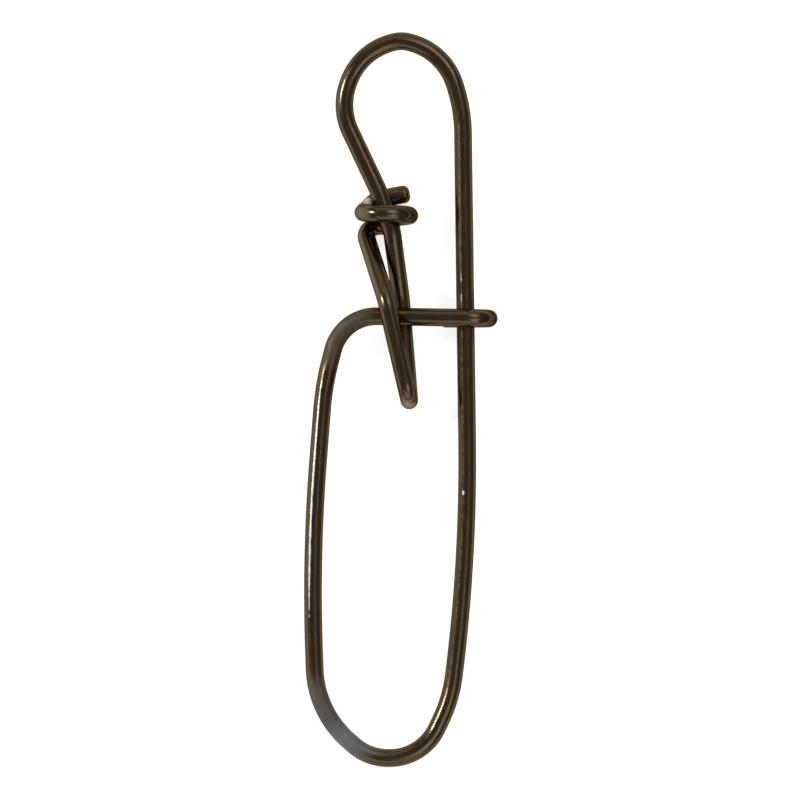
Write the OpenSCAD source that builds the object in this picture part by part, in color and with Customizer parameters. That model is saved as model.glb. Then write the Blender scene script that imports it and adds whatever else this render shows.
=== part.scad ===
// Fishing snap, bent from one length of spring wire.
// The wire is followed from its cut tail: it is wound once round itself in a small coil, drops as the
// front leg of the keeper, turns back up behind, runs up through the coil, makes the line eye and comes
// down as the spine. It then turns round the bottom of the lure loop, climbs the left side, crosses at the
// shoulder as the latch arm, passes through the keeper and hooks round the spine.
// Its axis is a list of corners, each [across, up, forward] with the radius that rounds it, measured from
// the point where the latch arm crosses the spine. The finished wire is then laid on the flat surface
// where it comes to rest.

/* [Wire] */
// Diameter of the wire
wire_d = 0.9; // [0.6:0.05:1]
// Gap where the latch arm passes the spine and the two legs of the keeper
cross_gap = 0.12; // [0.05:0.01:0.4]
// Radius that rounds the edge of each cut end
end_round = 0.2; // [0.05:0.01:0.25]

/* [Line eye] */
// Height of the eye's crown over the latch arm
crown_up = 13.9; // [12.5:0.1:20]
// Width of the eye between the corners of its two sides
eye_w = 6.14; // [5.4:0.02:9]
// Width of the crown between its two shoulder corners
crown_w = 4.3; // [3.6:0.1:5]
// Drop from the crown to its shoulder corners
crown_drop = 0.6; // [0.4:0.1:1]
// Drop from the crown to the corners of the eye's sides
eye_side_drop = 3.46; // [3:0.02:4.5]
// Bend radius at the top of the crown
crown_r = 1.52; // [1:0.02:2]
// Bend radius at the crown's shoulders and at the side over the coil
eye_r = 3.12; // [1.5:0.02:4]
// Bend radius where the eye runs out into the spine
eye_spine_r = 8.1; // [4:0.1:12]

/* [Lure loop] */
// Drop from the latch arm to the bottom of the loop
loop_down = 22; // [18:0.5:30]
// Width of the loop between the corners of its two sides
loop_w = 7.9; // [7:0.1:11]
// Width of the flat part of the bottom between its corners
bottom_w = 2.74; // [2:0.02:4]
// Distance from the spine to the nearer corner of the bottom
bottom_in = 2.14; // [1.5:0.02:3]
// Bend radius of the two bottom corners
bottom_r = 2.6; // [1.5:0.1:3]
// Height over the bottom at which the right side closes in
heel_up = 3; // [2:0.1:4]
// Distance that the right side's corner there lies inside the spine
heel_in = 0.73; // [0.4:0.01:1.2]
// Bend radius of that corner
heel_r = 7.2; // [3:0.1:9]
// Height over the bottom at which the left side closes in
toe_up = 2.3; // [1.8:0.1:4]
// Distance that the left side's corner there lies inside the widest part
toe_in = 0.27; // [0.1:0.01:0.6]
// Bend radius of that corner
toe_r = 5; // [3:0.1:9]
// Height over the bottom at which the two long sides bow out
bow_up = 10.1; // [8:0.1:14]
// Distance that the spine and the left side bow out
bow_out = 0.15; // [0.05:0.01:0.3]
// Bend radius of the two long sides
bow_r = 86; // [40:2:120]

/* [Latch] */
// Distance from the spine to the corner of the latch shoulder
shoulder_out = 6.2; // [5.5:0.02:8]
// Height of that corner over the point where the arm crosses the spine
shoulder_up = 0.12; // [0:0.01:0.3]
// Bend radius of the latch shoulder
shoulder_r = 2.24; // [1:0.02:3]
// Drop below the shoulder at which the left side leans inwards
lean_down = 3.4; // [2.5:0.1:6]
// Distance from the shoulder corner out to the lean of the left side
lean_out = 0.89; // [0.5:0.01:1.5]
// Bend radius of the lean
lean_r = 14; // [5:1:30]
// Length of the hook's tip past the axis of the spine
hook_tip = 1.3; // [0.8:0.1:2.4]
// Play between the spine and the turn of the hook, on top of the gap at the crossing
hook_play = 0.13; // [0:0.01:0.5]

/* [Keeper] */
// Drop from the latch arm to the bottom of the keeper
keeper_down = 4.12; // [2.5:0.02:7]
// Distance from the spine to the keeper's bottom
keeper_in = 2.82; // [2.4:0.02:4.4]
// Distance from the spine to the bend of the back leg
back_leg_in = 3.24; // [2.8:0.02:4.6]
// Height of that bend over the latch arm
back_leg_up = 1; // [0:0.1:2]
// Distance from the spine to the bend of the front leg
front_leg_in = 3.98; // [3.4:0.02:5.4]
// Height of that bend over the latch arm
front_leg_up = 0.9; // [0.7:0.1:2.4]
// Bend radius of the front leg there
front_leg_r = 1.6; // [0.8:0.1:3]
// Clearance that the slant of the two legs takes up where they pass the latch arm
leg_play = 0.06; // [0.04:0.01:0.3]
// Clearance between the keeper's two bends at its bottom
keeper_flat = 0.16; // [0.12:0.02:0.6]

/* [Coil] */
// Height of the coil's middle over the latch arm
coil_up = 5.2; // [4.4:0.1:7]
// Distance from the spine to the coil's middle
coil_in = 3.97; // [3.5:0.01:5.4]
// Gap between the coil and the wire that runs through it
coil_gap = 0.25; // [0.15:0.01:0.5]
// Height that the coil's front would climb in a whole turn
coil_climb = 0.3; // [0.1:0.05:0.6]
// Bends that a whole turn of the coil has
coil_bends = 8; // [7:1:10]
// Sideways reach of the arch that leads from the front leg into the coil, from the coil's middle
arch_out = 1.18; // [1.1:0.01:1.6]
// Drop from the coil's middle to the arch
arch_down = 0.58; // [0.5:0.01:0.8]
// Bend radius of the arch
arch_r = 0.7; // [0.5:0.02:0.9]
// Height over the coil's middle at which the tail leaves the coil behind the stem
tail_up = 0.75; // [0.6:0.05:1.2]
// Further climb of the tail from there to its cut end
tail_rise = 0.3; // [0:0.05:0.6]
// Reach of the tail's cut end past the coil's middle
tail_out = 1.17; // [0.7:0.01:2.5]
// Lean of the wire that runs through the coil, in degrees
stem_lean = 19; // [5:1:25]
// Length of that straight above the coil's middle
stem_above = 1.27; // [1.1:0.01:2]
// Length of that straight below the coil's middle
stem_below = 0.84; // [0.7:0.01:1.2]
// Bend radius at its two ends
stem_r = 2.4; // [1:0.1:4]

/* [Hidden] */
$fn = 48;

wire_r = wire_d / 2;
// Two wires that cross lie this far apart, axis to axis
apart = wire_d + cross_gap;

// A bend is drawn fuller than its straights by swell, and each straight runs on into it by bite, so that the
// two surfaces meet in a clean circle
swell = 0.003;
bite = 0.03;
// The shortest straight that is kept between two bends
min_straight = 0.1;
// Chords that round the rim of a cut end
rim_steps = 4;

// Vectors
function unit(v) = v / norm(v);
function turn(u, v) = acos(min(1, max(-1, u * v)));

// Coil: seen along its axis its corners stand round the stem, from the first behind it, by the right and the
// front, to the last behind it again
coil_r = wire_d + coil_gap;
coil_mid = [-coil_in, coil_up, 0];
coil_step = 360 / coil_bends;
coil_corner_r = coil_r / cos(coil_step / 2);
function coil_corner(i) = let (
    a = (i + 0.5) * coil_step,
    rise = coil_climb * (i + 0.5 - coil_bends / 2) / coil_bends
) coil_mid + [coil_corner_r * sin(a), rise, -coil_corner_r * cos(a)];
// The radius leaves each straight of the coil just long enough
coil_edge = coil_corner_r * 2 * sin(coil_step / 2);
coil_bend_r = (coil_edge - min_straight) / 2 / tan(coil_step / 2);
// The last corner is lifted, and the tail leaves it behind the stem
tail_start = [coil_corner(coil_bends - 1).x, coil_up + tail_up, -coil_r];
tail_end = [-coil_in + tail_out, coil_up + tail_up + tail_rise, -coil_r];
// The arch comes over from the front leg and runs level behind the stem before it rises into the coil
arch_start = [-coil_in - arch_out, coil_up - arch_down, -coil_r];
arch_end = [-coil_in, coil_up - arch_down, -coil_r];

// Stem: the straight that runs through the coil
stem_dir = [sin(stem_lean), -cos(stem_lean), 0];
stem_top = coil_mid - stem_dir * stem_above;
stem_foot = coil_mid + stem_dir * stem_below;

// Latch arm: it comes forward from the shoulder to pass before the spine, and its hook returns behind it
hook_out = apart + hook_play;
function arm_z(x) = apart * (x + shoulder_out) / shoulder_out;
function arm_y(x) = -shoulder_up * x / shoulder_out;
hook_end = [-hook_tip, arm_y(hook_out), -apart];

// Keeper: the back leg passes behind the latch arm and the front leg before it
back_z = arm_z(-back_leg_in) - apart - leg_play;
front_z = arm_z(-front_leg_in) + apart + leg_play;
keeper_r = (front_z - back_z - keeper_flat) / 2;

// Lure loop and eye
bottom_y = -loop_down;
left_x = bow_out - loop_w;
bottom_left = [-bottom_in - bottom_w, bottom_y, 0];
toe = [left_x + toe_in, bottom_y + toe_up, 0];
eye_mid_x = -eye_w / 2 - bow_out;

// The corners in order from the tail to the hook's tip, each with its bend radius
bends = concat(
    [[tail_end, 0]],
    [[tail_start, coil_bend_r]],
    [for (i = [coil_bends - 2:-1:0]) [coil_corner(i), coil_bend_r]],
    [
        [arch_end, arch_r],
        [arch_start, arch_r],
        [[-front_leg_in, front_leg_up, front_z], front_leg_r],
        [[-keeper_in, -keeper_down, front_z], keeper_r],
        [[-keeper_in, -keeper_down, back_z], keeper_r],
        [[-back_leg_in, back_leg_up, back_z], stem_r],
        [stem_foot, stem_r],
        [stem_top, stem_r],
        [[eye_mid_x - eye_w / 2, crown_up - eye_side_drop, 0], eye_r],
        [[eye_mid_x - crown_w / 2, crown_up - crown_drop, 0], eye_r],
        [[eye_mid_x, crown_up, 0], crown_r],
        [[eye_mid_x + crown_w / 2, crown_up - crown_drop, 0], eye_r],
        [[eye_mid_x + eye_w / 2, crown_up - eye_side_drop, 0], eye_spine_r],
        [[bow_out, bottom_y + bow_up, 0], bow_r],
        [[-heel_in, bottom_y + heel_up, 0], heel_r],
        [[-bottom_in, bottom_y, 0], bottom_r],
        [bottom_left, bottom_r],
        [toe, toe_r],
        [[left_x, bottom_y + bow_up, 0], bow_r],
        [[-shoulder_out - lean_out, -lean_down, 0], lean_r],
        [[-shoulder_out, shoulder_up, 0], shoulder_r],
        [[hook_out, arm_y(hook_out), arm_z(hook_out)], hook_out],
        [[hook_out, arm_y(hook_out), -apart], hook_out],
        [hook_end, 0]
    ]
);
last = len(bends) - 1;

// The wire lies on the arch behind its coil, the cut end of its hook and the left corner of its bottom, so
// the plane of those three is turned level
feet = [arch_end, hook_end, (bottom_left + toe) / 2];
foot_up = unit(cross(feet[2] - feet[0], feet[1] - feet[0]));
tip_x = atan2(foot_up.y, foot_up.z);
tip_y = -atan2(foot_up.x, norm([foot_up.y, foot_up.z]));
function about_x(p) = [p.x, p.y * cos(tip_x) - p.z * sin(tip_x), p.y * sin(tip_x) + p.z * cos(tip_x)];
function about_y(p) = [p.x * cos(tip_y) + p.z * sin(tip_y), p.y, p.z * cos(tip_y) - p.x * sin(tip_y)];

// Two bends share the straight between them, so where it is too short both get a smaller radius
function corner(i) = about_y(about_x(bends[i][0]));
function heading(i) = unit(corner(i + 1) - corner(i));
function bend_turn(i) = turn(heading(i - 1), heading(i));
function wanted(i) = i == 0 || i == last ? 0 : bends[i][1] * tan(bend_turn(i) / 2);
function share(i, j) = (norm(corner(i) - corner(j)) - min_straight) * wanted(i) / (wanted(i) + wanted(j));
function taken(i) = min(wanted(i), share(i, i - 1), share(i, i + 1));
function bend_r(i) = taken(i) / tan(bend_turn(i) / 2);

// Points along the wire's axis, with each bend drawn as a few short chords
bend_chords = 12;
function bend_points(i) = let (
    u = heading(i - 1),
    v = heading(i),
    a = bend_turn(i),
    r = bend_r(i),
    n = unit(v - u * (u * v)),
    start = corner(i) - u * taken(i)
) [for (k = [0:bend_chords]) let (t = a * k / bend_chords) start + u * r * sin(t) + n * r * (1 - cos(t))];
axis = concat(
    [corner(0)],
    [for (i = [1:last - 1]) each bend_points(i)],
    [corner(last)]
);

// The surface lies under the wire, and the origin under the middle of its outline
low = [for (k = [0:2]) min([for (p = axis) p[k]]) - wire_r];
high = [for (k = [0:2]) max([for (p = axis) p[k]]) + wire_r];
base = [(low.x + high.x) / 2, (low.y + high.y) / 2, low.z];

// A straight from a to b that runs on into the bends at either end
module straight(a, b) {
    dir = unit(b - a);
    along(a - dir * bite, dir) cylinder(r = wire_r, h = norm(b - a) + 2 * bite);
}

// The straight from a to the cut end b, whose edge is rounded
module cut_end(a, b) {
    dir = unit(b - a);
    length = norm(b - a) + bite;
    rim = [for (k = [0:rim_steps]) let (t = 90 * k / rim_steps)
        [wire_r - end_round * (1 - cos(t)), length - end_round * (1 - sin(t))]];
    along(a - dir * bite, dir) rotate_extrude()
        polygon(concat([[0, 0], [wire_r, 0]], rim, [[0, length]]));
}

// Stands a child drawn up the z axis at a, along dir
module along(a, dir) {
    translate(a) rotate([0, acos(dir.z), atan2(dir.y, dir.x)]) children();
}

// The bend at corner i, drawn from the end of one straight to the start of the next
module bend(i) {
    u = heading(i - 1);
    v = heading(i);
    r = bend_r(i);
    n = unit(v - u * (u * v));
    w = cross(u, n);
    c = corner(i) - u * taken(i) + n * r;
    multmatrix([
        [-n.x, u.x, w.x, c.x],
        [-n.y, u.y, w.y, c.y],
        [-n.z, u.z, w.z, c.z],
        [0, 0, 0, 1]
    ]) rotate_extrude(angle = bend_turn(i)) translate([r, 0]) circle(r = wire_r + swell);
}

// Where the straight after corner i starts, and where the one before it ends
function leaves(i) = i == 0 ? corner(0) : corner(i) + heading(i) * taken(i);
function meets(i) = i == last ? corner(last) : corner(i) - heading(i - 1) * taken(i);

module snap_wire() {
    color("#3a342c") translate(-base) {
        cut_end(meets(1), corner(0));
        for (i = [1:last - 2]) straight(leaves(i), meets(i + 1));
        cut_end(leaves(last - 1), corner(last));
        for (i = [1:last - 1]) bend(i);
    }
}

snap_wire();
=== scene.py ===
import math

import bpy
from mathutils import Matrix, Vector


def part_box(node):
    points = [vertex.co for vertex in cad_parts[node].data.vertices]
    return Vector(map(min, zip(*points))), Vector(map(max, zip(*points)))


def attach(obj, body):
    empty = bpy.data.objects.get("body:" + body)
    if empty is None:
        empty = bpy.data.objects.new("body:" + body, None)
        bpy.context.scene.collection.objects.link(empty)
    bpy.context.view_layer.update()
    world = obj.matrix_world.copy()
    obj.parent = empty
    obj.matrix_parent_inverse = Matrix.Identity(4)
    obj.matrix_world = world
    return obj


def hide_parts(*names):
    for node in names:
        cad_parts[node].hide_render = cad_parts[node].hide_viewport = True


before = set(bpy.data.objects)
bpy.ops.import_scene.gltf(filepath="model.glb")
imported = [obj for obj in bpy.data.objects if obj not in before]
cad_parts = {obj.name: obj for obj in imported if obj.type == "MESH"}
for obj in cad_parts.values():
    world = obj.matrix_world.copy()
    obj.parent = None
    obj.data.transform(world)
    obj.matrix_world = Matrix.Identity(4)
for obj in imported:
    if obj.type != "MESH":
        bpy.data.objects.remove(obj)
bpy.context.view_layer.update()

# %% [markdown]
# A fishing snap, dressed in Blender.
# The real object is one length of dark plated spring wire, bent round pins into a line eye, a small coil, a
# keeper loop, a long lure loop and a latch arm whose hook closes over the spine.
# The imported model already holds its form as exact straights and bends. Its mesh has few faces round the
# wire, which shows as soon as a glossy metal reflects the studio, so this lesson bends a finer wire along
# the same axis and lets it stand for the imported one.

MM = 0.001


def size_mm(low, high):
    """The sides of a box in millimetres, for printing."""
    return [round((end - start) / MM, 2) for start, end in zip(low, high)]


# %% [markdown]
# A wire former writes a bent wire down as a list of corners: where two straights would meet if the bend were
# sharp, and the radius that rounds the corner. The same list is kept here, in millimetres, measured from the
# point where the latch arm crosses the spine. X runs towards the hook, Y up to the eye and Z to the viewer.
# Keeping corners and not a dense trace means that a size can be changed in one place and every bend stays
# round. In the names, the spine is the long straight side of the snap, the heel and the toe are the right
# and the left corner near the bottom of the loop, the bow is the slight curve of its two sides, and the stem
# is the straight that runs up through the coil.

# %% Wire
WIRE_D = 0.9
CROSS_GAP = 0.12        # where the latch arm passes the spine and the two legs of the keeper
MIN_STRAIGHT = 0.1      # the shortest straight between two bends
WIRE_R = WIRE_D / 2
APART = WIRE_D + CROSS_GAP
print("wires that cross lie apart, axis to axis, mm:", round(APART, 2))

# %% Sizes of the line eye
CROWN_UP = 13.9         # from the latch arm up to the crown
CROWN_W = 4.3           # between the crown's two shoulder corners
CROWN_DROP = 0.6        # from the crown down to those corners
CROWN_R = 1.52
EYE_W = 6.14            # between the corners of the eye's two sides
EYE_SIDE_DROP = 3.46    # from the crown down to those corners
EYE_R = 3.12
EYE_SPINE_R = 8.1       # where the eye runs out into the spine
print("line eye, mm between its corners:", EYE_W)

# %% Sizes of the lure loop
LOOP_DOWN = 22.0        # from the latch arm down to the bottom
LOOP_W = 7.9            # between the corners of its two sides
BOTTOM_W = 2.74         # the flat part of the bottom, between its corners
BOTTOM_IN = 2.14        # from the spine to the nearer corner of the bottom
BOTTOM_R = 2.6
HEEL_UP = 3.0           # from the bottom up to where the right side closes in
HEEL_IN = 0.73          # how far the right side's corner there lies inside the spine
HEEL_R = 7.2
TOE_UP = 2.3            # from the bottom up to where the left side closes in
TOE_IN = 0.27           # how far the left side's corner there lies inside the widest part
TOE_R = 5.0
BOW_UP = 10.1           # from the bottom up to where both long sides bow out
BOW_OUT = 0.15
BOW_R = 86.0
print("lure loop, mm long and wide:", LOOP_DOWN, LOOP_W)

# %% Sizes of the latch
SHOULDER_OUT = 6.2      # from the spine to the shoulder's corner
SHOULDER_UP = 0.12      # how much higher that corner is than the crossing
SHOULDER_R = 2.24
LEAN_DOWN = 3.4         # from the crossing down to where the left side leans inwards
LEAN_OUT = 0.89         # from the shoulder's corner out to there
LEAN_R = 14.0
HOOK_TIP = 1.3          # how far the tip reaches past the spine's axis
HOOK_PLAY = 0.13        # between the spine and the turn of the hook, on top of the gap
print("latch arm, mm from the shoulder to the spine:", SHOULDER_OUT)

# %% Sizes of the keeper
KEEPER_DOWN = 4.12      # from the latch arm down to its bottom
KEEPER_IN = 2.82        # from the spine to its bottom
KEEPER_FLAT = 0.16      # between the two bends at its bottom
BACK_LEG_IN = 3.24      # from the spine to the bend of the back leg
BACK_LEG_UP = 1.0       # from the latch arm up to that bend
FRONT_LEG_IN = 3.98     # the same for the front leg
FRONT_LEG_UP = 0.9
FRONT_LEG_R = 1.6
LEG_PLAY = 0.06         # what the slant of the legs takes up where they pass the latch arm
print("keeper, mm long:", KEEPER_DOWN)

# %% Sizes of the coil, its arch, its tail and the stem
COIL_UP = 5.2           # from the latch arm up to the coil's middle
COIL_IN = 3.97          # from the spine to there
COIL_GAP = 0.25         # between the coil and the stem inside it
COIL_CLIMB = 0.3        # what the coil's front would climb in a whole turn
COIL_BENDS = 8          # bends of a whole turn
ARCH_OUT = 1.18         # sideways reach of the arch that leads into the coil
ARCH_DOWN = 0.58        # from the coil's middle down to the arch
ARCH_R = 0.7
TAIL_UP = 0.75          # from the coil's middle up to where the tail leaves it
TAIL_RISE = 0.3         # further climb of the tail to its cut end
TAIL_OUT = 1.17         # how far the cut end reaches past the coil's middle
STEM_LEAN = 19          # degrees
STEM_ABOVE = 1.27       # length of the stem's straight above the coil's middle
STEM_BELOW = 0.84       # and below it
STEM_R = 2.4
print("coil, mm above the latch arm:", COIL_UP)

# %% [markdown]
# The coil is wound round the stem. Seen along the stem, its corners stand at even angles, so a short formula
# places them and nothing has to be traced. The bend radius is as large as the straights between the corners
# allow, which makes the coil as good as round.

# %% Corners of the coil
coil_r = WIRE_D + COIL_GAP
coil_mid = Vector((-COIL_IN, COIL_UP, 0))
coil_step = 2 * math.pi / COIL_BENDS
coil_corner_r = coil_r / math.cos(coil_step / 2)
coil_edge = coil_corner_r * 2 * math.sin(coil_step / 2)
coil_bend_r = (coil_edge - MIN_STRAIGHT) / 2 / math.tan(coil_step / 2)


def coil_corner(i):
    """One corner of the coil, counted from behind the stem by its right side and its front."""
    angle = (i + 0.5) * coil_step
    climb = COIL_CLIMB * (i + 0.5 - COIL_BENDS / 2) / COIL_BENDS
    return coil_mid + Vector((coil_corner_r * math.sin(angle), climb, -coil_corner_r * math.cos(angle)))


tail_start = Vector((coil_corner(COIL_BENDS - 1).x, COIL_UP + TAIL_UP, -coil_r))
tail_end = Vector((-COIL_IN + TAIL_OUT, COIL_UP + TAIL_UP + TAIL_RISE, -coil_r))
arch_start = Vector((-COIL_IN - ARCH_OUT, COIL_UP - ARCH_DOWN, -coil_r))
arch_end = Vector((-COIL_IN, COIL_UP - ARCH_DOWN, -coil_r))
print("coil radius, mm:", round(coil_r, 2), "bend radius:", round(coil_bend_r, 3))

# %% [markdown]
# The latch is what makes the snap a snap. Its arm climbs slowly from the shoulder, passes over the spine and
# hooks under it. The keeper's back leg lies under the arm and its front leg over it, so the height of the
# arm where it passes a leg sets how far back or forward that leg lies.

# %% Where the latch, the keeper and the sides turn
def arm_z(x):
    """Height of the latch arm's axis at x, climbing from the shoulder to pass over the spine."""
    return APART * (x + SHOULDER_OUT) / SHOULDER_OUT


hook_out = APART + HOOK_PLAY
hook_y = -SHOULDER_UP * hook_out / SHOULDER_OUT
hook_end = Vector((-HOOK_TIP, hook_y, -APART))
back_z = arm_z(-BACK_LEG_IN) - APART - LEG_PLAY
front_z = arm_z(-FRONT_LEG_IN) + APART + LEG_PLAY
keeper_r = (front_z - back_z - KEEPER_FLAT) / 2
stem_angle = math.radians(STEM_LEAN)
stem_dir = Vector((math.sin(stem_angle), -math.cos(stem_angle), 0))
eye_x = -EYE_W / 2 - BOW_OUT
eye_side_y = CROWN_UP - EYE_SIDE_DROP
crown_side_y = CROWN_UP - CROWN_DROP
left_x = BOW_OUT - LOOP_W
bow_y = BOW_UP - LOOP_DOWN
bottom_left = Vector((-BOTTOM_IN - BOTTOM_W, -LOOP_DOWN, 0))
toe = Vector((left_x + TOE_IN, TOE_UP - LOOP_DOWN, 0))
print("heights of the keeper's back and front leg, mm:", round(back_z, 2), round(front_z, 2))

# %% Corners of the whole wire, from its tail to the tip of the hook
bends = [(tail_end, 0), (tail_start, coil_bend_r)]
bends += [(coil_corner(i), coil_bend_r) for i in reversed(range(COIL_BENDS - 1))]
bends += [
    (arch_end, ARCH_R),
    (arch_start, ARCH_R),
    ((-FRONT_LEG_IN, FRONT_LEG_UP, front_z), FRONT_LEG_R),
    ((-KEEPER_IN, -KEEPER_DOWN, front_z), keeper_r),
    ((-KEEPER_IN, -KEEPER_DOWN, back_z), keeper_r),
    ((-BACK_LEG_IN, BACK_LEG_UP, back_z), STEM_R),
    (coil_mid + stem_dir * STEM_BELOW, STEM_R),
    (coil_mid - stem_dir * STEM_ABOVE, STEM_R),
    ((eye_x - EYE_W / 2, eye_side_y, 0), EYE_R),
    ((eye_x - CROWN_W / 2, crown_side_y, 0), EYE_R),
    ((eye_x, CROWN_UP, 0), CROWN_R),
    ((eye_x + CROWN_W / 2, crown_side_y, 0), EYE_R),
    ((eye_x + EYE_W / 2, eye_side_y, 0), EYE_SPINE_R),
    ((BOW_OUT, bow_y, 0), BOW_R),
    ((-HEEL_IN, HEEL_UP - LOOP_DOWN, 0), HEEL_R),
    ((-BOTTOM_IN, -LOOP_DOWN, 0), BOTTOM_R),
    (bottom_left, BOTTOM_R),
    (toe, TOE_R),
    ((left_x, bow_y, 0), BOW_R),
    ((-SHOULDER_OUT - LEAN_OUT, -LEAN_DOWN, 0), LEAN_R),
    ((-SHOULDER_OUT, SHOULDER_UP, 0), SHOULDER_R),
    ((hook_out, hook_y, arm_z(hook_out)), hook_out),
    ((hook_out, hook_y, -APART), hook_out),
    (hook_end, 0),
]
corners = [Vector(c) for c, _ in bends]
wanted_r = [r for _, r in bends]
print("corners:", len(corners))

# %% [markdown]
# Neighbouring bends share the straight between them, and where it is too short for both, each gets its
# part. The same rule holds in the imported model, so that both wires run on one line.

# %% Radii that fit
last = len(corners) - 1


def half_turn(i):
    """Half of the angle that the wire turns through at corner i."""
    before = corners[i] - corners[i - 1]
    after = corners[i + 1] - corners[i]
    return before.angle(after) / 2


def wanted(i):
    """Length of straight that the bend at corner i wants on either side. The two cut ends want none."""
    return wanted_r[i] * math.tan(half_turn(i)) if 0 < i < last else 0.0


def share(i, j):
    """The part of the straight between corners i and j that falls to the bend at i."""
    free = (corners[i] - corners[j]).length - MIN_STRAIGHT
    return free * wanted(i) / (wanted(i) + wanted(j))


def fitted_radius(i):
    """The bend radius at corner i, held to what its two straights can give."""
    return min(wanted(i), share(i, i - 1), share(i, i + 1)) / math.tan(half_turn(i))


radii = [0.0] + [fitted_radius(i) for i in range(1, last)] + [0.0]
print("tightest bend, mm:", round(min(radii[1:-1]), 3))

# %% [markdown]
# Laid on a table, the snap rests on the arch behind its coil, on the tip of its hook and on the left side of
# its loop near the bottom. Turning the plane of those three points level gives the pose in which the packed
# model lies.

# %% Lay the wire down
feet = [arch_end, hook_end, (bottom_left + toe) / 2]
foot_up = (feet[2] - feet[0]).cross(feet[1] - feet[0]).normalized()
tip_x = math.atan2(foot_up.y, foot_up.z)
tip_y = -math.atan2(foot_up.x, math.hypot(foot_up.y, foot_up.z))
lay_flat = Matrix.Rotation(tip_y, 3, "Y") @ Matrix.Rotation(tip_x, 3, "X")
laid = [lay_flat @ c for c in corners]
print("tipped by, degrees:", round(math.degrees(tip_x), 2), round(math.degrees(tip_y), 2))

# %% [markdown]
# Geometry Nodes turns the corners into the wire. A tree of nodes is easier to read when a node, its settings
# and its inputs stand together, so a few helpers come first. The materials further down use them as well.

# %% Helpers for node trees
def add(tree, kind, inputs=None, **settings):
    """A new node. Each of its inputs is given a plain value or the output of another node."""
    node = tree.nodes.new(kind)
    for name, value in settings.items():
        setattr(node, name, value)
    for name, value in (inputs or {}).items():
        if isinstance(value, bpy.types.NodeSocket):
            tree.links.new(value, node.inputs[name])
        else:
            node.inputs[name].default_value = value
    return node


def maths(tree, operation, *values):
    """The result of a Math node."""
    return add(tree, "ShaderNodeMath", dict(enumerate(values)), operation=operation).outputs["Value"]


def noise(tree, where, pattern):
    """A noise whose values lie round 0.5. The pattern is its scale, its detail and its roughness."""
    scale, detail, roughness = pattern
    inputs = {"Vector": where, "Scale": scale, "Detail": detail, "Roughness": roughness}
    return add(tree, "ShaderNodeTexNoise", inputs).outputs["Fac"]


# %% [markdown]
# Mesh to Curve makes a line of the corners, Fillet Curve rounds each one by the radius stored on it, and
# Resample Curve cuts the line into even steps, one for each ring of the wire's mesh.
# The two cut ends of a finished snap are rounded, so that they don't catch on the line. A bevel on the
# finished mesh can't be wider than the gap between two rings, so the ends are rounded while the wire is
# swept: the line gets extra steps near them, and a quarter circle draws the wire in.

# %% The line and its round ends
SIDES = 48
RING_GAP = 0.11
BEND_POINTS = 28
END_ROUND = 0.32        # how far the rounding reaches back from a cut end
END_CUTS = 8            # cuts in each step near a cut end


def bent_line(tree, given):
    """The corners as a line, each rounded by its bend_r, in even steps."""
    line = add(tree, "GeometryNodeMeshToCurve", {"Mesh": given["Geometry"]}).outputs["Curve"]
    bend_r = add(tree, "GeometryNodeInputNamedAttribute", {"Name": "bend_r"}).outputs["Attribute"]
    rounding = {"Curve": line, "Count": given["Bend points"], "Radius": bend_r}
    fillet = add(tree, "GeometryNodeFilletCurve", rounding, mode="POLY").outputs["Curve"]
    steps = {"Curve": fillet, "Length": given["Ring gap"]}
    return add(tree, "GeometryNodeResampleCurve", steps, mode="LENGTH").outputs["Curve"]


def finer_ends(tree, given, line, to_end):
    """The line with extra steps near its two ends."""
    reach = maths(tree, "ADD", given["End round"], given["Ring gap"])
    near_end = maths(tree, "LESS_THAN", to_end, reach)
    cuts = maths(tree, "MULTIPLY", near_end, given["End cuts"])
    return add(tree, "GeometryNodeSubdivideCurve", {"Curve": line, "Cuts": cuts}).outputs["Curve"]


def end_scale(tree, given, to_end):
    """How thick the wire is, as a part of its full size, along a quarter circle at each end."""
    from_end = maths(tree, "DIVIDE", to_end, given["End round"])
    inward = maths(tree, "MAXIMUM", maths(tree, "SUBTRACT", 1.0, from_end), 0.0)
    arc = maths(tree, "SQRT", maths(tree, "SUBTRACT", 1.0, maths(tree, "MULTIPLY", inward, inward)))
    deepest = maths(tree, "DIVIDE", given["End round"], given["Wire radius"])
    drawn_in = maths(tree, "MULTIPLY", maths(tree, "SUBTRACT", 1.0, arc), deepest)
    return maths(tree, "SUBTRACT", 1.0, drawn_in)


# %% [markdown]
# Curve to Mesh sweeps a circle along the line. Before sweeping, the distance along the wire and the place on
# the circle are kept as one attribute. Together they are the coordinates that a point had while the wire was
# still straight, so scratches from the drawing die can follow every bend.
# Bent wire is never perfectly even, so a broad, shallow noise moves the surface by a few thousandths of a
# millimetre. It makes the long highlights waver a little.

# %% The swept wire
WAVE_DEPTH = 0.004
# Scale, detail and roughness of a noise. Its lumps are about as large as a metre divided by the scale.
WAVES = (900.0, 2.0, 0.5)
NOISE_MIDDLE = 0.5


def keep(tree, geometry, kind, name, value):
    """The geometry, and a value on it that later nodes can still read after it has changed."""
    node = add(tree, "GeometryNodeCaptureAttribute", {"Geometry": geometry})
    node.capture_items.new(kind, name)
    tree.links.new(value, node.inputs[name])
    return node.outputs["Geometry"], node.outputs[name]


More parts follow.
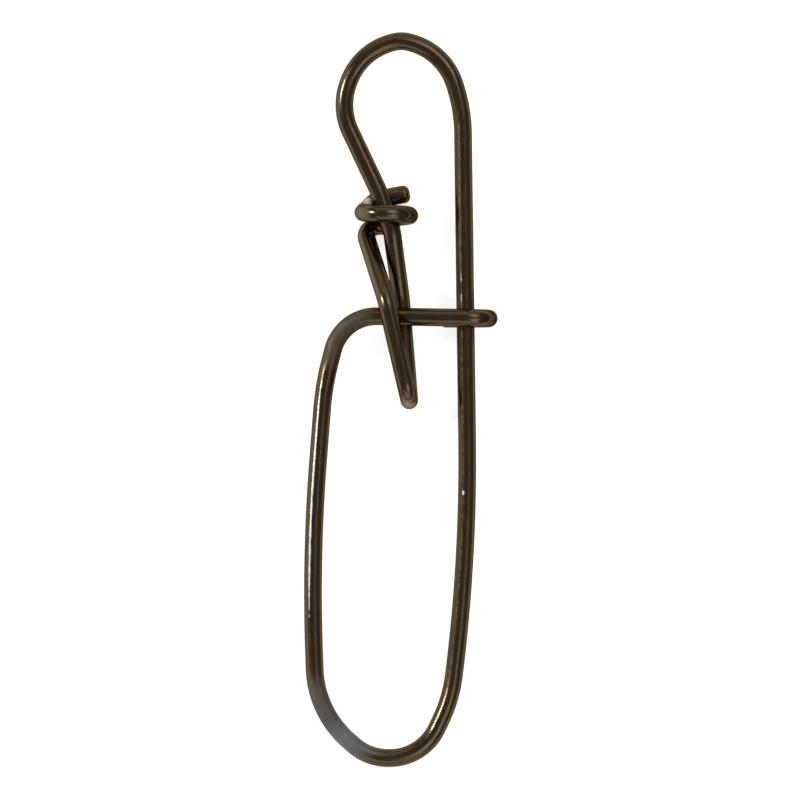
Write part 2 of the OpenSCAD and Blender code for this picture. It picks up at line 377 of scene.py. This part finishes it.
def sweep(tree, given, line, scale, way):
    """The wire's surface with its unbent coordinates stored on it, and those coordinates."""
    line, way = keep(tree, line, "FLOAT", "way", way)
    ring = {"Resolution": given["Sides"], "Radius": given["Wire radius"]}
    circle = add(tree, "GeometryNodeCurvePrimitiveCircle", ring).outputs["Curve"]
    position = add(tree, "GeometryNodeInputPosition").outputs["Position"]
    circle, place = keep(tree, circle, "VECTOR", "place", position)
    along = {"Curve": line, "Profile Curve": circle, "Scale": scale, "Fill Caps": True}
    surface = add(tree, "GeometryNodeCurveToMesh", along).outputs["Mesh"]
    around = add(tree, "ShaderNodeSeparateXYZ", {"Vector": place}).outputs
    straight = {"X": around["X"], "Y": around["Y"], "Z": way}
    unbent = add(tree, "ShaderNodeCombineXYZ", straight).outputs["Vector"]
    named = {"Geometry": surface, "Name": "unbent", "Value": unbent}
    store = add(tree, "GeometryNodeStoreNamedAttribute", named, data_type="FLOAT_VECTOR", domain="POINT")
    return store.outputs["Geometry"], unbent


def waver(tree, given, surface, unbent):
    """The surface, moved in and out a little."""
    height = maths(tree, "SUBTRACT", noise(tree, unbent, WAVES), NOISE_MIDDLE)
    height = maths(tree, "MULTIPLY", height, given["Wave depth"])
    normal = add(tree, "GeometryNodeInputNormal").outputs["Normal"]
    push = add(tree, "ShaderNodeVectorMath", {"Vector": normal, "Scale": height}, operation="SCALE")
    moved = {"Geometry": surface, "Offset": push.outputs["Vector"]}
    return add(tree, "GeometryNodeSetPosition", moved).outputs["Geometry"]


# %% The whole tree
WIRE_INPUTS = {
    "Wire radius": "Float",
    "Ring gap": "Float",
    "Wave depth": "Float",
    "End round": "Float",
    "End cuts": "Int",
    "Sides": "Int",
    "Bend points": "Int",
    "Finish": "Material",
}


def build_wire_tree():
    """Corners with a bend_r attribute in, a swept wire out."""
    tree = bpy.data.node_groups.new("bend_wire", "GeometryNodeTree")
    tree.interface.new_socket("Geometry", in_out="INPUT", socket_type="NodeSocketGeometry")
    for name, kind in WIRE_INPUTS.items():
        tree.interface.new_socket(name, in_out="INPUT", socket_type="NodeSocket" + kind)
    tree.interface.new_socket("Geometry", in_out="OUTPUT", socket_type="NodeSocketGeometry")
    given = add(tree, "NodeGroupInput").outputs

    way = add(tree, "GeometryNodeSplineParameter").outputs["Length"]
    whole = add(tree, "GeometryNodeSplineLength").outputs["Length"]
    to_end = maths(tree, "MINIMUM", way, maths(tree, "SUBTRACT", whole, way))
    line = finer_ends(tree, given, bent_line(tree, given), to_end)
    surface, unbent = sweep(tree, given, line, end_scale(tree, given, to_end), way)
    surface = waver(tree, given, surface, unbent)

    smooth = add(tree, "GeometryNodeSetShadeSmooth", {"Geometry": surface}).outputs["Geometry"]
    real = add(tree, "GeometryNodeRealizeInstances", {"Geometry": smooth}).outputs["Geometry"]
    coat = add(tree, "GeometryNodeSetMaterial", {"Geometry": real, "Material": given["Finish"]})
    add(tree, "NodeGroupOutput", {"Geometry": coat.outputs["Geometry"]})
    return tree


wire_tree = build_wire_tree()
print("nodes in the wire tree:", len(wire_tree.nodes))

# %% [markdown]
# The finish is a dark plating on steel: a metal that reflects only about a tenth of the light, slightly warm,
# and smooth enough for sharp highlights. Dark paint would look flatter, because paint puts a pale gloss over
# a dark body. What keeps the metal from looking like plastic is that it isn't even. It is browner in patches
# and matt in a few places. Light and shade are also painted into its colour: a grey painted sheen at most of
# the matt places, a dark painted shade and a pale painted reflection on some flanks, and painted highlights in
# the colour of bare steel. Attributes painted on the mesh further down say where. Noise breaks the edge of the
# painted highlights.

# %% Tones of the plating
PLATING = (0.135, 0.104, 0.063)
BROWN_PLATING = (0.165, 0.098, 0.052)
# Painted sheen: a paler grey at the matt places, standing in for the soft reflection of the room
PAINTED_SHEEN_TONE = (0.300, 0.300, 0.290)
# Painted shade: darker plating on the right-facing flanks at the right ends of the coil and of the hook
PAINTED_SHADE_TONE = (0.080, 0.058, 0.036)
# Painted reflection: paler plating on the left-facing flanks of the coil and of the keeper's front leg, and on
# the keeper's tip
PAINTED_REFLECTION_TONE = (0.29, 0.235, 0.165)
# Painted highlights: the colour of bare steel, put where the window lamp's highlights fall
HIGHLIGHT_STEEL = (0.70, 0.64, 0.54)

# Noise of the brown patches, and its values where the plating is all dark and where it is all brown
PATCHES = (420.0, 4.0, 0.5)
ALL_DARK, ALL_BROWN = 0.38, 0.72
# Noise that breaks the edge of the painted highlights, and how much of it is taken from their mark. What is
# left of
# the mark is compared with two values: below the first the plating is whole, and above the second the highlight
# is full.
HIGHLIGHT_BREAKS_NOISE = (3500.0, 3.0, 0.5)
HIGHLIGHT_BREAKS = -0.9
NO_HIGHLIGHT, FULL_HIGHLIGHT = -0.05, 0.15
# The Mix node has sockets for each kind of value. These are the places of the ones that mix colours.
MIX_AMOUNT, MIX_FROM, MIX_TO, MIX_RESULT = 0, 6, 7, 2


def mark(tree, name):
    """How strong one of the painted marks is here."""
    return add(tree, "ShaderNodeAttribute", attribute_name=name).outputs["Fac"]


def blend(tree, amount, colour, tone):
    """The colour, changed to the tone by the amount."""
    inputs = {MIX_AMOUNT: amount, MIX_FROM: colour, MIX_TO: (*tone, 1)}
    return add(tree, "ShaderNodeMix", inputs, data_type="RGBA").outputs[MIX_RESULT]


def highlight_mask(tree, unbent):
    """1 where a highlight is painted and 0 elsewhere, with an edge broken by noise."""
    broken = maths(tree, "MULTIPLY_ADD", noise(tree, unbent, HIGHLIGHT_BREAKS_NOISE), HIGHLIGHT_BREAKS, mark(tree, "painted_highlight"))
    limits = {"Value": broken, "From Min": NO_HIGHLIGHT, "From Max": FULL_HIGHLIGHT}
    return add(tree, "ShaderNodeMapRange", limits, interpolation_type="SMOOTHSTEP").outputs["Result"]


def plating_colour(tree, unbent, highlight_amount):
    """Brown patches in dark plating, then the painted sheen, shade and reflection, and the painted highlights
    over all.
    """
    patches = add(tree, "ShaderNodeValToRGB", {"Fac": noise(tree, unbent, PATCHES)})
    dark, brown = patches.color_ramp.elements
    dark.position = ALL_DARK
    dark.color = (*PLATING, 1)
    brown.position = ALL_BROWN
    brown.color = (*BROWN_PLATING, 1)
    colour = patches.outputs["Color"]
    for name, tone in (("painted_sheen", PAINTED_SHEEN_TONE), ("painted_shade", PAINTED_SHADE_TONE), ("painted_reflection", PAINTED_REFLECTION_TONE)):
        colour = blend(tree, mark(tree, name), colour, tone)
    return blend(tree, highlight_amount, colour, HIGHLIGHT_STEEL)


# %% [markdown]
# Two patterns make the surface. Wire is pulled through a die, which leaves fine lines along it: noise that
# is stretched along the wire. The bending pins leave nicks all over: noise that isn't stretched. Both are
# far smaller than the wire, so a bump is enough and no geometry is needed. The nicks also change how glossy
# the metal is, which breaks up each highlight.

# %% Gloss and grain
# Noise of the nicks, its values where the metal is glossiest and dullest, and the roughness there
NICKS = (2600.0, 5.0, 0.6)
GLOSSY_AT, DULL_AT = 0.3, 0.75
GLOSSIEST, DULLEST = 0.15, 0.28
# Roughness that is added under the painted highlights and where the plating is matt
HIGHLIGHT_DULLS, MATT_DULLS = 0.22, 0.42
NICK_STRENGTH, NICK_DEPTH = 0.35, 0.02
# Noise of the drawn lines, and its stretch along the wire
LINES = (14000.0, 3.0, 0.5)
LINE_STRETCH = (1, 1, 0.035)
LINE_STRENGTH, LINE_DEPTH = 0.12, 0.01


def plating_roughness(tree, nicks, highlight_amount):
    """Glossy plating, duller in its nicks, under the painted highlights and where it is matt."""
    limits = {"From Min": GLOSSY_AT, "From Max": DULL_AT, "To Min": GLOSSIEST, "To Max": DULLEST}
    gloss = add(tree, "ShaderNodeMapRange", {"Value": nicks, **limits}).outputs["Result"]
    gloss = maths(tree, "MULTIPLY_ADD", highlight_amount, HIGHLIGHT_DULLS, gloss)
    return maths(tree, "MULTIPLY_ADD", mark(tree, "matt"), MATT_DULLS, gloss)


def plating_bump(tree, unbent, nicks):
    """Lines from the drawing die, with nicks over them."""
    stretch = add(tree, "ShaderNodeMapping", {"Vector": unbent, "Scale": LINE_STRETCH}).outputs["Vector"]
    lines = noise(tree, stretch, LINES)
    fine = {"Height": lines, "Strength": LINE_STRENGTH, "Distance": LINE_DEPTH * MM}
    drawn = add(tree, "ShaderNodeBump", fine).outputs["Normal"]
    coarse = {"Height": nicks, "Strength": NICK_STRENGTH, "Distance": NICK_DEPTH * MM, "Normal": drawn}
    return add(tree, "ShaderNodeBump", coarse).outputs["Normal"]


# %% The plated finish
EDGE_TINT = (0.40, 0.36, 0.32)      # keeps it dark at a glancing angle, where most metals turn white


def plated_finish():
    """Dark plating whose grain follows the wire."""
    mat = bpy.data.materials.new("dark_plated_wire")
    mat.use_nodes = True
    tree = mat.node_tree
    unbent = add(tree, "ShaderNodeAttribute", attribute_name="unbent").outputs["Vector"]
    highlight_amount = highlight_mask(tree, unbent)
    nicks = noise(tree, unbent, NICKS)
    shader = tree.nodes["Principled BSDF"].inputs
    shader["Metallic"].default_value = 1.0
    shader["Specular Tint"].default_value = (*EDGE_TINT, 1)
    tree.links.new(plating_colour(tree, unbent, highlight_amount), shader["Base Color"])
    tree.links.new(plating_roughness(tree, nicks, highlight_amount), shader["Roughness"])
    tree.links.new(plating_bump(tree, unbent, nicks), shader["Normal"])
    return mat


plating = plated_finish()
print("nodes in the plating:", len(plating.node_tree.nodes))

# %% [markdown]
# Now the tree is put to work. The corners become a mesh of edges with the fitted radius on each, and the
# modifier's inputs are set before the object is first evaluated. They are set by the identifiers of their
# sockets, because the modifier doesn't know the sockets' names.

# %% Corners as a mesh
axis = bpy.data.meshes.new("snap_wire_axis")
axis.from_pydata([c * MM for c in laid], [(i, i + 1) for i in range(last)], [])
stored = axis.attributes.new("bend_r", "FLOAT", "POINT")
for i, r in enumerate(radii):
    stored.data[i].value = r * MM
rough = bpy.data.objects.new("snap_wire_axis", axis)
bpy.context.scene.collection.objects.link(rough)
print("edges to bend:", len(axis.edges))

# %% Sweep the wire
settings = {
    "Wire radius": WIRE_R * MM,
    "Ring gap": RING_GAP * MM,
    "Wave depth": WAVE_DEPTH * MM,
    "End round": END_ROUND * MM,
    "End cuts": END_CUTS,
    "Sides": SIDES,
    "Bend points": BEND_POINTS,
    "Finish": plating,
}
bender = rough.modifiers.new("bend_wire", "NODES")
bender.node_group = wire_tree
for item in wire_tree.interface.items_tree:
    if item.in_out == "INPUT" and item.name in settings:
        bender[item.identifier] = settings[item.name]

bpy.context.view_layer.update()
evaluated = rough.evaluated_get(bpy.context.evaluated_depsgraph_get())
swept = bpy.data.meshes.new_from_object(evaluated)
bpy.data.objects.remove(rough)
print("points:", len(swept.vertices), "faces:", len(swept.polygons))

# %% [markdown]
# The swept wire still lies about the point where its arm crosses its spine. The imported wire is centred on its
# outline and stands on the table, so the swept one is moved until both fill the same box.

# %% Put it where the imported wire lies
low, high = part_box("snap_wire")
at_low = [min(v.co[k] for v in swept.vertices) for k in range(3)]
at_high = [max(v.co[k] for v in swept.vertices) for k in range(3)]
to_place = Vector((
    (low[0] + high[0] - at_low[0] - at_high[0]) / 2,
    (low[1] + high[1] - at_low[1] - at_high[1]) / 2,
    low[2] - at_low[2],
))
swept.transform(Matrix.Translation(to_place))
print("swept wire, mm:", size_mm(at_low, at_high))

# %% [markdown]
# The marks in the plating lie at certain places of the snap, so noise alone can't make them. Each point of
# the mesh is taken back to the millimetres of the corner list, where a place is easy to name, and gets a
# value for each mark.
# The first mark is a painted highlight in the colour of bare steel, on the front of the wire turned a little to
# the left:
# a line along the left side of the loop that thins out at both ends, a faint broken line and a dot on the
# spine, and a spot on the coil.

# %% Where highlights are painted
HIGHLIGHT_TILT = 25           # degrees from the front of the wire to its left
HIGHLIGHT_SLANT = 0.05        # how far a painted highlight also faces up, as a part of how far it faces left
HIGHLIGHT_HALF_WIDTH = 9      # degrees round the wire
HIGHLIGHT_TOP = -2.2          # Y of the ends of the line on the left side
HIGHLIGHT_BOTTOM = -15.6
HIGHLIGHT_FADE = 2.6          # length over which each end thins out
LEFT_SIDE_X = -6.6      # the left side of the loop lies further left than this
SPINE_X = -1.0          # the spine lies further right than this
SPINE_TOP_Z = WIRE_R + 0.01     # and no higher, which leaves out the latch arm
# Middle, half length and strength of the highlight dot on the spine, and ends and strength of the faint
# highlight line on it
DOT_Y, DOT_REACH, DOT_HIGHLIGHT = -8.75, 0.07, 1.3
SPINE_LINE_BOTTOM, SPINE_LINE_TOP, SPINE_LINE_HIGHLIGHT = 0.6, 3.1, 0.54
COIL_HIGHLIGHT = Vector((-5.05, 5.88, -0.35))
COIL_HIGHLIGHT_REACH = 0.36

tilt = math.radians(HIGHLIGHT_TILT)
highlight_way = lay_flat @ Vector((-math.sin(tilt), HIGHLIGHT_SLANT * math.sin(tilt), math.cos(tilt))).normalized()


def painted_highlight_at(place, normal):
    """How strongly a highlight is painted at a point of the wire. From 1 on, the noise no longer breaks it."""
    if (place - COIL_HIGHLIGHT).length < COIL_HIGHLIGHT_REACH and normal.z > 0:
        return 1.0
    turned = math.degrees(normal.angle(highlight_way))
    across = math.sqrt(max(0.0, 1 - turned / HIGHLIGHT_HALF_WIDTH))
    if place.x < LEFT_SIDE_X and HIGHLIGHT_BOTTOM < place.y < HIGHLIGHT_TOP:
        to_end = min(HIGHLIGHT_TOP - place.y, place.y - HIGHLIGHT_BOTTOM)
        return across * math.sqrt(min(1.0, to_end / HIGHLIGHT_FADE))
    on_spine = place.x > SPINE_X and place.z < SPINE_TOP_Z
    if on_spine and abs(place.y - DOT_Y) < DOT_REACH:
        return across * DOT_HIGHLIGHT
    if on_spine and SPINE_LINE_BOTTOM < place.y < SPINE_LINE_TOP:
        return across * SPINE_LINE_HIGHLIGHT
    return 0.0


print("rubbed line, mm long:", round(HIGHLIGHT_TOP - HIGHLIGHT_BOTTOM, 2))

# %% [markdown]
# Light and shade are painted into the plating on some flanks. A pale painted reflection lies on the left of the
# coil, on the left of the keeper's front leg and at the keeper's tip, and a dark painted shade lies on the
# right ends of the coil and of the hook.

# %% Where reflection and shade are painted
# Each pair is where a mark starts and where it is full. A slope is a part of the normal. The other pairs are
# millimetres, along the wire from its tail or from the middle of the mark.
REFLECTION_SIDE = 0.5         # strength of the mark on the left of the coil and of the front leg
REFLECTION_SIDE_SLOPE = (0.5, 0.9)
REFLECTION_SIDE_WAY = (15.0, 12.5)
TIP_WAY = 19.6          # where the keeper's tip is along the wire
TIP_SLOPE = (0.45, 0.8)
TIP_REACH = (2.2, 1.5)
SHADE_MIDDLES = [Vector((-2.6, 5.1, 0.3)), Vector((1.5, 0, 0.2))]
SHADE_SLOPE = (0.35, 0.75)
SHADE_REACH = (2.0, 1.4)


def ramp(value, limits):
    """0 at the first limit, 1 at the second, smooth between."""
    start, end = limits
    t = min(1.0, max(0.0, (value - start) / (end - start)))
    return t * t * (3 - 2 * t)


def painted_reflection_at(way, normal):
    """How strongly the pale reflection is painted."""
    side = REFLECTION_SIDE * ramp(-normal.x, REFLECTION_SIDE_SLOPE) * ramp(way, REFLECTION_SIDE_WAY)
    tip = ramp(-normal.y, TIP_SLOPE) * ramp(abs(way - TIP_WAY), TIP_REACH)
    return max(side, tip)


def painted_shade_at(place, normal):
    """How strongly the dark shade is painted."""
    near = max(ramp((place - middle).length, SHADE_REACH) for middle in SHADE_MIDDLES)
    return ramp(normal.x, SHADE_SLOPE) * near


print("thick places:", len(SHADE_MIDDLES))

# %% [markdown]
# In a few places the plating has lost its gloss: on the shoulder, on the side under it, and at the bottom of
# the loop on its left. Matt metal mirrors nothing clearly, so it shows the room as one soft sheen. Most of
# these places are also painted a paler grey, a painted sheen.

# %% Where the plating is matt and where a grey sheen is painted
# Middle, reach and strength of the painted grey sheen of each place
MATT_PLACES = [
    (Vector((-6.25, -0.5, 0)), 2.3, 0.12),
    (Vector((-7.05, -1.7, 0)), 1.2, 0.0),
    (Vector((-5.98, -21.0, 0)), 2.1, 1.0),
    (Vector((-7.0, -19.6, 0)), 2.5, 0.4),
]
MATT_CORE = 0.3         # the part of the reach within which the mark is full
SHEEN_CORE = 0.1


def matt_at(place):
    """How matt the plating is."""
    return max(
        ramp((place - middle).length, (reach, reach * MATT_CORE))
        for middle, reach, _ in MATT_PLACES
    )


def painted_sheen_at(place):
    """How strongly the grey sheen is painted."""
    return max(
        painted_sheen * ramp((place - middle).length, (reach, reach * SHEEN_CORE))
        for middle, reach, painted_sheen in MATT_PLACES
    )


print("matt places:", len(MATT_PLACES))

# %% Paint the marks
from_place = lay_flat.transposed()
ways = [v.vector.z / MM for v in swept.attributes["unbent"].data]
places = [from_place @ ((v.co - to_place) / MM) for v in swept.vertices]
normals = [v.normal.copy() for v in swept.vertices]
marks = {
    "painted_highlight": [painted_highlight_at(p, n) for p, n in zip(places, normals)],
    "painted_reflection": [painted_reflection_at(w, n) for w, n in zip(ways, normals)],
    "painted_shade": [painted_shade_at(p, n) for p, n in zip(places, normals)],
    "matt": [matt_at(p) for p in places],
    "painted_sheen": [painted_sheen_at(p) for p in places],
}
for name, values in marks.items():
    swept.attributes.new(name, "FLOAT", "POINT").data.foreach_set("value", values)
    print(name, "points:", sum(1 for v in values if v > 0))

# %% [markdown]
# The mesh holds its own place, so its object stays at the origin, unturned and unscaled. It moves with the
# body that the imported wire belongs to, takes the place of that wire in the picture and carries the material
# that the wire tree set on it.

# %% The finished piece
wire = bpy.data.objects.new("plated_wire", swept)
bpy.context.scene.collection.objects.link(wire)
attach(wire, "root")
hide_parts("snap_wire")
print("triangles:", sum(len(p.vertices) - 2 for p in swept.polygons))

# %% [markdown]
# The snap lies on a white table. Polished metal shows its surroundings, so the table matters as much as the
# lamps: it gives the wire its paler flanks. Part of its white is a glow that only the camera and reflections
# see. That keeps it white round the snap and leaves the shadow where the wire touches it, and the lamps can
# stay dim. Reflections see a weaker glow than the camera does, because the flanks would else be too pale.

# %% White table
TABLE = 0.4             # metres from its middle to its edge
PAPER = 0.8
GLOW_SEEN = 0.80
GLOW_MIRRORED = 0.42


def white_table():
    """White paper with a glow for the camera and a weaker one for reflections."""
    mat = bpy.data.materials.new("white_table")
    mat.use_nodes = True
    tree = mat.node_tree
    tree.nodes.clear()
    ray = add(tree, "ShaderNodeLightPath").outputs
    mirrored = maths(tree, "MAXIMUM", ray["Is Glossy Ray"], ray["Is Transmission Ray"])
    mirrored = maths(tree, "MULTIPLY", mirrored, GLOW_MIRRORED)
    strength = maths(tree, "MULTIPLY_ADD", ray["Is Camera Ray"], GLOW_SEEN, mirrored)
    glow = add(tree, "ShaderNodeEmission", {"Strength": strength}).outputs["Emission"]
    paper = add(tree, "ShaderNodeBsdfDiffuse", {"Color": (PAPER, PAPER, PAPER, 1)}).outputs["BSDF"]
    both = add(tree, "ShaderNodeAddShader", {0: paper, 1: glow}).outputs["Shader"]
    add(tree, "ShaderNodeOutputMaterial", {"Surface": both})
    return mat


table_corners = [(-TABLE, -TABLE, 0), (TABLE, -TABLE, 0), (TABLE, TABLE, 0), (-TABLE, TABLE, 0)]
table_mesh = bpy.data.meshes.new("table")
table_mesh.from_pydata(table_corners, [], [(0, 1, 2, 3)])
table_mesh.materials.append(white_table())
table = bpy.data.objects.new("table", table_mesh)
bpy.context.scene.collection.objects.link(table)
print("table, m wide:", 2 * TABLE)

# %% [markdown]
# The room above is dim, which gives the wire its dark middle. Each lamp is a shape that the wire mirrors. A
# small bright window on the left draws the dot on the coil and the crescents on the bends. Two wide, soft
# lamps, one past the eye and one past the loop, light the latch arm. A low card on the left lifts the left
# flanks, and two patches of sky overhead add the broad sheen at the shoulder and the bottom.
# A straight wire seen from the front mirrors only what lies square to its run, so a lamp can be turned until
# it shows on one bend and on no straight.

# %% Room
ROOM = (0.17, 0.165, 0.155)

scene = bpy.context.scene
scene.world = bpy.data.worlds.new("room")
scene.world.use_nodes = True
background = scene.world.node_tree.nodes["Background"].inputs
background["Color"].default_value = (*ROOM, 1)
background["Strength"].default_value = 1.0
print("light of the room on a level sheet:", ROOM[0])

# %% Lamps
DAYLIGHT = (0.80, 0.91, 1.1)
SKYLIGHT = (0.93, 0.98, 1.04)
WHITE = (1, 1, 1)
# Name, azimuth from +X towards +Y and elevation in degrees, distance, width and height in metres, radiance
# and colour
LAMPS = [
    ("window", 164, 33, 0.30, 0.055, 0.063, 32.0, DAYLIGHT),
    ("soft_above", 90, 32, 0.35, 0.45, 0.20, 0.40, WHITE),
    ("soft_below", 270, 31, 0.35, 0.45, 0.20, 0.60, WHITE),
    ("left_card", 180, 10, 0.30, 0.40, 0.08, 0.7, WHITE),
    ("sky_above", 52, 57, 0.30, 0.16, 0.16, 1.3, SKYLIGHT),
    ("sky_below", 312, 57, 0.30, 0.16, 0.16, 1.1, SKYLIGHT),
]


def lamp(name, azimuth, elevation, away, width, height, radiance, colour):
    """A rectangular lamp that faces the snap. Gives its share of a white sheet's full brightness."""
    turn = math.radians(azimuth)
    lift = math.radians(elevation)
    toward = Vector((math.cos(lift) * math.cos(turn), math.cos(lift) * math.sin(turn), math.sin(lift)))
    data = bpy.data.lights.new(name, "AREA")
    data.shape = "RECTANGLE"
    data.size = width
    data.size_y = height
    data.energy = math.pi * width * height * radiance
    data.color = colour
    obj = bpy.data.objects.new(name, data)
    obj.location = toward * away
    obj.rotation_euler = toward.to_track_quat("Z", "Y").to_euler()
    scene.collection.objects.link(obj)
    light = radiance * width * height / away ** 2 * math.sin(lift) / math.pi
    print(name, "lights a level sheet with", round(light, 3))
    return light


print("light on a level sheet:", round(ROOM[0] + sum(lamp(*row) for row in LAMPS), 2))

# %% [markdown]
# The photograph looks square on to the snap. The camera stands far away with a long lens, so that the wire
# looks as thick at the eye as at the heel, and it is tipped by the same few degrees as the snap was when it
# was laid down.

# %% Camera
VIEW_MM = 40.0          # width of the frame
DISTANCE = 0.6          # metres
SENSOR = 36.0
NEAREST = 0.01
FRAME_MID = Vector((-3.285, -4.1, 0))       # from the point where the latch arm crosses the spine

camera_data = bpy.data.cameras.new("camera")
camera_data.sensor_width = SENSOR
camera_data.lens = SENSOR * DISTANCE / (VIEW_MM * MM)
camera_data.clip_start = NEAREST
camera = bpy.data.objects.new("camera", camera_data)
scene.collection.objects.link(camera)
aim = lay_flat @ FRAME_MID * MM + to_place
camera.location = aim + lay_flat @ Vector((0, 0, DISTANCE))
camera.rotation_euler = lay_flat.to_euler()
scene.camera = camera
scene.view_settings.view_transform = "Standard"
print("lens, mm:", round(camera_data.lens))
